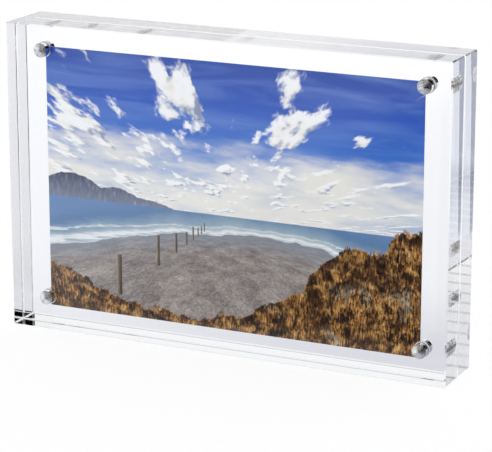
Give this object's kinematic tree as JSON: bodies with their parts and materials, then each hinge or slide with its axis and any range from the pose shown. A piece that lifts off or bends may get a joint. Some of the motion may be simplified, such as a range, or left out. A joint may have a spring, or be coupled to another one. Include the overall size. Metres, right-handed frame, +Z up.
{
  "type": "acrylic block photo frame",
  "caption": "Clear acrylic block picture frame: two thick polished slabs clamp a landscape photo print between them with disc magnets at the corners.",
  "frame": {"origin": "on the base, midway along the width, in the middle of the joint between the two slabs", "axes": "+X to the viewer's right along the width, +Y away from the viewer through the thickness, +Z up; the print faces -Y"},
  "size_m": [0.1778, 0.025, 0.1184],
  "materials": {
    "clear_acrylic": "clear cast acrylic, faces and edges polished",
    "nickel_plate": "bright nickel plating on a disc magnet",
    "photo_paper": "glossy coated photo paper, printed on the front"
  },
  "bodies": {
    "rear_half": {"rear_slab": "clear_acrylic", "rear_magnet_top_left": "nickel_plate", "rear_magnet_top_right": "nickel_plate", "rear_magnet_bottom_left": "nickel_plate", "rear_magnet_bottom_right": "nickel_plate"},
    "front_half": {"front_slab": "clear_acrylic", "front_magnet_top_left": "nickel_plate", "front_magnet_top_right": "nickel_plate", "front_magnet_bottom_left": "nickel_plate", "front_magnet_bottom_right": "nickel_plate"},
    "print": {"photo_print": "photo_paper"}
  },
  "joints": [
    {"name": "front_pull", "type": "slide", "parent": "rear_half", "child": "front_half", "axis": [0, -1, 0], "range_m": [0, 0.06]},
    {"name": "print_lift", "type": "slide", "parent": "rear_half", "child": "print", "axis": [0, 0, 1], "range_m": [0, 0.112]}
  ]
}
